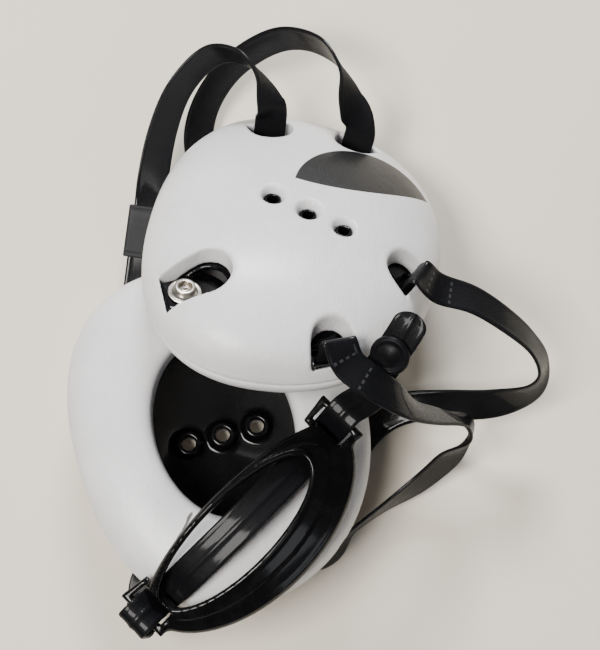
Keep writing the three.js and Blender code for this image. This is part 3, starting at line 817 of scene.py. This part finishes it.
def centripetal(points, density):
    """A smooth curve through the points: its points and the station of each, density to a stretch."""
    pts = [np.array(p) for p in points]
    pts = [2 * pts[0] - pts[1]] + pts + [2 * pts[-1] - pts[-2]]
    out, stations = [], []
    for i in range(1, len(pts) - 2):
        p0, p1, p2, p3 = pts[i - 1:i + 3]
        d0, d1, d2 = (max(np.linalg.norm(b - a) ** 0.5, 1e-4) for a, b in ((p0, p1), (p1, p2), (p2, p3)))
        t1 = ((p1 - p0) / d0 - (p2 - p0) / (d0 + d1) + (p2 - p1) / d1) * d1
        t2 = ((p2 - p1) / d1 - (p3 - p1) / (d1 + d2) + (p3 - p2) / d2) * d1
        for k in range(density):
            t = k / density
            out.append(p1 + t1 * t + (-3 * p1 + 3 * p2 - 2 * t1 - t2) * t * t
                       + (2 * p1 - 2 * p2 + t1 + t2) * t ** 3)
            stations.append(i - 1 + t)
    out.append(pts[-2])
    stations.append(len(points) - 1)
    return np.array(out), np.array(stations)


def smoothed(values, rounds):
    """Evens out a row of vectors, with its two ends kept."""
    v = values.copy()
    for _ in range(rounds):
        v[1:-1] = (v[:-2] + 2 * v[1:-1] + v[2:]) / 4
    return v


def make_route(stations, density=14, evening=10):
    """Centre line, width directions and face directions along a strap."""
    places = [s[0] for s in stations]
    line, at = centripetal(places, density)
    along = np.gradient(line, axis=0)
    along /= np.linalg.norm(along, axis=1)[:, None]
    acrosses = []
    for i, (_, hold) in enumerate(stations):
        if isinstance(hold, Vector):
            acrosses.append(np.array(hold))
            continue
        direction = along[i * density]
        left = np.cross((0, 0, 1), direction)
        left /= np.linalg.norm(left)
        lifted = np.cross(direction, left)
        acrosses.append(left * math.cos(hold) + lifted * math.sin(hold))
    rolled = [not isinstance(s[1], Vector) for s in stations]
    first = rolled.index(True)
    before = [(i, i + 1) for i in range(first - 1, -1, -1)]
    after = [(i, i - 1) for i in range(first + 1, len(stations))]
    for i, near in before + after:
        if not rolled[i] and acrosses[i] @ acrosses[near] < 0:
            acrosses[i] = -acrosses[i]
    acrosses = np.array(acrosses)
    i = np.minimum(at.astype(int), len(stations) - 2)
    share = (at - i)[:, None]
    across = acrosses[i] * (1 - share) + acrosses[i + 1] * share
    line, across = smoothed(line, evening), smoothed(across, evening)
    along = np.gradient(line, axis=0)
    along /= np.linalg.norm(along, axis=1)[:, None]
    across -= along * np.sum(across * along, axis=1)[:, None]
    across /= np.linalg.norm(across, axis=1)[:, None]
    return {"line": line, "along": along, "across": across, "face": np.cross(along, across), "at": at}


def route_frame(route, station):
    i = int(np.argmin(np.abs(route["at"] - station)))
    return (Vector(route[k][i]) for k in ("line", "along", "across", "face"))


def strap_section(ridge=0.0):
    """(across, out of the face) round a strap's section."""
    half, thick, r = STRAP_WIDTH / 2, STRAP_THICKNESS / 2, 0.6
    flat = [(-half + r) + (2 * half - 2 * r) * i / 18 for i in range(19)]

    def rise(x):
        rib = 0.10 * math.exp(-((abs(x) - half + 1.3) / 0.45) ** 2)
        centre = ridge * math.exp(-(x / 0.9) ** 2)
        return thick - 0.12 + rib + centre
    corner = [math.pi / 2 * (1 - i / 4) for i in range(1, 4)]
    top = [(x, rise(x)) for x in flat]
    right = [(half - r + r * math.cos(a), (thick - 0.12) * math.sin(a)) for a in corner]
    right += [(half, 0)] + [(x, -y) for x, y in right[::-1]]
    low = [(x, -y if not ridge else -thick + 0.12) for x, y in top[::-1]]
    left = [(-x, -y) for x, y in right]
    return top + right + low + left


def ribbon(name, route, face_out, face_in, ridge=0.0, tongue=0.0):
    """The strap's skin: its section carried along the route, closed at both ends."""
    section = strap_section(ridge)
    n, count = len(route["line"]), len(section)
    lengths = np.concatenate(([0], np.cumsum(np.linalg.norm(np.diff(route["line"], axis=0), axis=1))))
    points, plan = [], []
    for i in range(n):
        narrow = 1.0
        if tongue:
            left_over = lengths[-1] - lengths[i]
            if left_over < tongue:
                narrow = math.sqrt(max(0.02, 1 - (1 - left_over / tongue) ** 2))
        for a, b in section:
            points.append(route["line"][i] + route["across"][i] * a * narrow + route["face"][i] * b)
            plan.append((a, lengths[i]))
    faces, kinds = [], []
    for i in range(n - 1):
        for k in range(count):
            j = (k + 1) % count
            faces.append((i * count + k, i * count + j, (i + 1) * count + j, (i + 1) * count + k))
            kinds.append(0 if section[k][1] + section[j][1] > -0.4 else 1)
    centres = [len(points), len(points) + 1]
    points += [route["line"][0], route["line"][-1]]
    plan += [(0, 0), (0, lengths[-1])]
    for k in range(count):
        j = (k + 1) % count
        faces.append((k, centres[0], j))
        faces.append(((n - 1) * count + j, centres[1], (n - 1) * count + k))
        kinds += [0, 0]
    thing = make_mesh(name, points, faces, plan)
    thing.data.materials.append(face_out)
    thing.data.materials.append(face_in)
    thing.data.polygons.foreach_set("material_index", kinds)
    ends = 2 * count                               # the flat faces that close the two ends
    thing.data.polygons.foreach_set("use_smooth", [True] * (len(faces) - ends) + [False] * ends)
    fix_normals(thing)
    return thing


def crown_front_route():
    return make_route([
        *slot_exit("right", "crown_front", 6, 23.6),
        *way([(-64.5, 8, 2.4, 0), (-65.5, 17, 4.2, 0), (-64.3, 27, 7.4, 0), (-62, 42, 12, 0),
              (-60.2, 54, 15.6, 3), (-59, 63, 18.5, 15), (-55, 81, 24, 35), (-47.5, 97, 31, 52),
              (-34, 108, 38, 66), (-22, 105, 42, 88), (-14, 95, 44, 115), (-11.5, 86, 43, 150)]),
        *slot_exit("left", "crown_front", 5, 25)[::-1]])


def crown_rear_route():
    return make_route([
        *slot_exit("right", "crown_rear", 5.5, 22.7),
        *way([(-28.9, 21, 2, 0), (-30, 36, 2.4, 0), (-36, 58, 2.2, 0), (-41, 76, 4.5, 10),
              (-41.5, 86, 8.5, 25), (-37, 98, 14.5, 40), (-26, 109, 24, 52), (-7, 116, 34, 62),
              (9, 110, 41, 80), (18, 97, 44, 110), (20, 87, 43, 150)]),
        *slot_exit("left", "crown_rear", 5, 24.5)[::-1]])


def nape_upper_route():
    return make_route([
        *slot_exit("left", "nape_upper", 7, 20.5),
        *way([(51, 9.5, 60, -15), (64, 6, 57, -25), (77, -1, 52, -35), (88, -9, 45, -50), (93, -17, 37, -65),
              (89, -25, 27, -55), (76, -28.5, 20, -35), (57, -28.5, 14, -20), (42, -29, 10, -10),
              (31, -34, 6.5, 0)]),
        *slot_exit("right", "nape_upper", 6, 24)[::-1]])


def nape_lower_route():
    return make_route([
        *slot_exit("left", "nape_lower", 6, 19.5),
        *way([(17, -22.5, 84.5, -5), (25, -28.5, 82.5, -10), (35, -34, 76, -25), (45.5, -37, 60, -50),
              (59, -37, 41, -72), (65.5, -41, 30, -75), (58, -50, 20, -50), (46, -60, 12, -60),
              (32, -69, 8.5, -82), (20, -78, 7.8, -86), (13, -85, 6.5, -50)]),
        *slot_exit("right", "nape_lower", 3, 24)[::-1]])


# ---------- the chin cup: x across, y along, z out of it ----------
CUP_START, CUP_END = (-57, -109, 46.5), (14.5, -38.5, 54.5)
CUP_THICKNESS, CUP_CROWN, CUP_DROP = 4, 12, 12
CUP_WINDOW = {"u": -6, "v": 2, "half": 37, "upper": 10.4, "lower": 14.4}
CUP_OUTER = {"u": -1, "v": 2, "half": 50, "upper": 13.6, "lower": 29.4}
CHIN_HALVES_MEET = 16.5               # the chin strap's station under the upper end of the cup
CHIN_TONGUE = 5                       # length of the strap's rounded end
CHIN_SNAP_AT, LOOSE_SNAP_BACK = 2, 4  # stations: of the right snap, and of the left one from the end
KEEPER_STATION = 7
HEAD_LENGTH, HEAD_WIDTH, HEAD_THICKNESS = 12, 19, 3
HEAD_SLOT_WIDTH, HEAD_SLOT_DEPTH, HEAD_SLOT_AT = 14.5, 6, 46.5


def cup_matrix():
    start, end = Vector(CUP_START) + SHIFT, Vector(CUP_END) + SHIFT
    along = (end - start).normalized()
    across = along.cross(Vector((0, 0, 1))).normalized()
    out = across.cross(along)
    turn = Matrix((across, along, out)).transposed().to_4x4()
    return Matrix.Translation((start + end) / 2) @ turn


def lens(shape, count=72):
    a = np.linspace(0, 2 * math.pi, count, endpoint=False)
    c = np.cos(a)
    return np.stack((shape["v"] + np.where(c < 0, shape["upper"], shape["lower"]) * c,
                     shape["u"] + shape["half"] * np.sin(a)), axis=1)


def cup_station(x, y, z):
    matrix = cup_matrix()
    return matrix @ Vector((x, y, z)), (matrix.to_3x3() @ Vector((1, 0, 0))).normalized()


def snap_stations(side):
    steps = [(out, STRAP_ON_SNAP) for out in (-9, -4, 0, 4, 10)]
    return heading_out(side, SNAP_X, SNAP_Y, SNAP_HEADING, steps)


def chin_route():
    on_cup = [(0, -57, -26), (0, -58.5, -14), (0, -57.5, -4), (0, -56.3, 2.2), (0, -51.2, 3),
              (0, -46.5, -1.5), (0, -42.5, -5), (1, -36, -2.5), (1.5, -27, 2.2), (2, 0, 6.5),
              (1.5, 25, 2.2), (1, 35, -2.5), (0, 42.5, -5), (0, 46.5, -1.5), (0, 50.5, 2.2),
              (0, 55, 3.5)]
    return make_route([
        *snap_stations("right"),
        *[cup_station(*p) for p in on_cup],
        *way([(25, -31.5, 67, 0), (28.4, -24, 73.5, 0), (30.5, -21, 76, 0), (32.6, -18, 78.5, 0),
              (34.7, -15, 81, 0), (36.8, -12, 83.2, 0), (39, -8.5, 85, 0), (41, -5, 86, 0)])], evening=5)


def cup_surface():
    step = 0.6
    low = (-18, -58, -22)
    x, y, z = grid_axes(low, (38, 58, 18), step)
    outer = outline_distance(lens(CUP_OUTER), x, y)
    window = outline_distance(lens(CUP_WINDOW), x, y)
    width = np.maximum(window - outer, 0.1)
    share = np.clip(window / width, 0, 1)
    side = np.maximum(0, x) / (CUP_OUTER["v"] + CUP_OUTER["lower"])
    rise = CUP_CROWN * (1 - (y / CUP_OUTER["half"]) ** 2) - CUP_DROP * side ** 2
    bead = 0.6 * np.exp(-((window - 1.5) / 1.1) ** 2) + 0.5 * np.exp(-((outer + 1.3) / 1.0) ** 2)
    shelf = -0.5 * np.clip((share - 0.45) / 0.06, 0, 1)
    top = rise + bead + shelf
    body = both(both(outer, -window, 1.2), both(z - top, rise - CUP_THICKNESS - z, 1.0), 1.3)
    for end in (-1, 1):
        flare = 1 + 0.12 * np.clip((end * y - 44) / 8, -0.5, 1)
        off_slot = np.abs(y - end * HEAD_SLOT_AT)
        head = np.maximum(np.abs(x) - HEAD_WIDTH / 2 * flare, off_slot - HEAD_LENGTH / 2)
        head = both(head, np.abs(z + HEAD_THICKNESS / 2) - HEAD_THICKNESS / 2, 1.3)
        hole = np.maximum(np.abs(x) - HEAD_SLOT_WIDTH / 2, off_slot - HEAD_SLOT_DEPTH / 2)
        body = both(either(body, head, 2.5), -hole, 1.0)
    return surface_of(body, low, step)


def keeper_surface():
    step = 0.35
    width, height = STRAP_WIDTH + 0.8, STRAP_THICKNESS + 0.8
    wall, length = 1.3, 21
    low = (-width, -length / 2 - 2, -height - 2)
    x, y, z = grid_axes(low, (width, length / 2 + 2, height + 2), step)
    outside = both(np.abs(x) - width / 2 - wall, np.abs(z) - height / 2 - wall, 1.1)
    outside = both(outside, np.abs(y) - length / 2, 0.5)
    inside = np.maximum(np.abs(x) - width / 2, np.abs(z) - height / 2) + 0 * y
    body = both(outside, -inside, 0.3)
    for end in (-1, 1):
        depth = np.maximum(0, height / 2 + wall + 0.25 - np.abs(z))
        groove = np.hypot(y - end * (length / 2 - 1.6), depth) - 0.45
        body = both(body, -groove, 0.2)
    return surface_of(body, low, step)


# ---------- the assembly ----------
def settle(piece, finish, body, material_slot, *nodes):
    piece.data.materials.append(finish)
    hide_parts(*nodes)
    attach(piece, body)


def add_guard(side, skins, shell_finish, pad_points, pad_faces):
    body = f"{side}_guard"
    cover = place_guard_piece(f"{side}_guard_cover", *cover_surface(side), side)
    settle(cover, skins["cover"], body, "white_skin", f"{side}_cover")
    pad = place_guard_piece(f"{side}_guard_pad", pad_points, pad_faces, side)
    subdivided(pad, 2)
    settle(pad, skins["pad"], body, "white_pad", f"{side}_ear_pad")
    shell = place_guard_piece(f"{side}_guard_shell", *shell_surface(side), side)
    settle(shell, shell_finish, body, "black_shell", f"{side}_shell")


def add_guard_snap(side, metal):
    matrix = guard_matrix(side) @ Matrix.Translation((SNAP_X, SNAP_Y, 0))
    for part, profile in (("snap_stud", stud_profile()), ("snap_post", post_profile())):
        piece = lathed(f"{side}_guard_{part}", profile, matrix)
        settle(piece, metal, f"{side}_guard", "nickel", f"{side}_{part}")


def add_strap_snap(side, route, station, metal, cap_finish):
    at, along, across, face = route_frame(route, station)
    outward = -1 if side == "right" else 1
    face = face * (outward if face.z > 0 else -outward)
    turn = Matrix((across, along, face)).transposed().to_4x4()
    matrix = Matrix.Translation(at) @ turn
    cap = lathed(f"{side}_strap_cap", cap_profile(), matrix)
    settle(cap, cap_finish, "right_guard", "black_cap", f"{side}_snap_cap")
    socket = lathed(f"{side}_strap_socket", socket_profile(), matrix)
    settle(socket, metal, "right_guard", "nickel", f"{side}_snap_socket")


def add_straps(gloss, matte):
    """The four straps between the guards, each running between the places where it leaves either guard."""
    straps = (
        ("crown_strap_front", crown_front_route(), 0.019, 0.044),
        ("crown_strap_rear", crown_rear_route(), 0.010, 0.042),
        ("nape_strap_upper", nape_upper_route(), 0.012, 0.056),
        ("nape_strap_lower", nape_lower_route(), 0.030, 0.076),
    )
    for name, route, low, high in straps:
        piece = ribbon(f"{name}_web", route, gloss, matte)
        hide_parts(name)
        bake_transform(piece)


def part_of(route, first, last):
    """The stretch of a route between two of its points."""
    return {key: values[first:last + 1] for key, values in route.items()}


def add_chin_strap(route, plain):
    """The chin strap in two lengths that meet under the cup."""
    middle = int(np.argmin(np.abs(route["at"] - CHIN_HALVES_MEET)))
    below_cup, at_lower_head = cup_station(0, -57, -26)[0], cup_station(0, -57, -8)[0]
    at_upper_head, at_cap = cup_station(0, 51, 2)[0], Vector((27, -27, 71)) + SHIFT
    lower, upper = part_of(route, 0, middle), part_of(route, middle, len(route["at"]) - 1)
    halves = (
        ("lower", lower, 0, "right_guard", "cup", below_cup, at_lower_head),
        ("upper", upper, CHIN_TONGUE, "cup", "right_guard", at_upper_head, at_cap),
    )
    for end, stretch, tongue, from_body, to_body, start, finish in halves:
        piece = ribbon(f"chin_strap_{end}_web", stretch, plain, plain, ridge=0.35, tongue=tongue)
        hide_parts("chin_strap")
        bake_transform(piece)


def add_surface(name, surface, matrix, finish, body, material_slot, node):
    points, faces = surface
    placed = moved(points, matrix)
    piece = make_mesh(name, placed, facing_out(placed, faces))
    settle(piece, finish, body, material_slot, node)


def add_cup():
    rubber = moulded("cup_rubber", (0.0028, 0.0028, 0.0032), 0.24, coat=0.28)
    add_surface("chin_cup_frame", cup_surface(), cup_matrix(), rubber, "cup", "cup_rubber", "chin_cup")


def add_keeper():
    at, along, across, face = route_frame(crown_front_route(), KEEPER_STATION)
    matrix = Matrix.Translation(at) @ Matrix((across, along, -face)).transposed().to_4x4()
    plastic = moulded("keeper_plastic", (0.022, 0.022, 0.024), 0.42)
    add_surface("strap_keeper_loop", keeper_surface(), matrix, plastic,
                "keeper", "keeper_plastic", "strap_keeper")


def build():
    aim = Vector((0, 0, 35)) * MM + SHIFT * MM
    look_from(CAMERA_ELEVATION, CAMERA_DISTANCE * MM, aim, CAMERA_DISTANCE / MM_PER_PX)
    set_stage()
    gloss = webbing("webbing_coated", 0.30, 0.006, 0.34, 0.00006, (2.3, 3.3))
    matte = webbing("webbing_bare", 0.0, 0.011, 0.50, 0.00007)
    plain = webbing("webbing_plain", 0.12, 0.005, 0.46, 0.00002)
    metal, shell_finish = nickel(), black_shell()
    cap_finish = moulded("snap_cap_plastic", (0.005, 0.005, 0.006), 0.34)
    pad_points, pad_faces = pad_shape()
    skins = {
        "left": {"cover": white_skin("left_cover_skin", marked=True), "pad": white_skin("left_pad_skin")},
        "right": {"cover": white_skin("right_cover_skin"),
                  "pad": white_skin("right_pad_skin", creases=(((-1.87, -2.99), (-2.95, -4.04)),))},
    }
    for side in ("left", "right"):
        add_guard(side, skins[side], shell_finish, pad_points, pad_faces)
        add_guard_snap(side, metal)
    add_straps(gloss, matte)
    chin = chin_route()
    add_chin_strap(chin, plain)
    add_strap_snap("right", chin, CHIN_SNAP_AT, metal, cap_finish)
    add_strap_snap("left", chin, chin["at"][-1] - LOOSE_SNAP_BACK, metal, cap_finish)
    add_cup()
    add_keeper()


build()
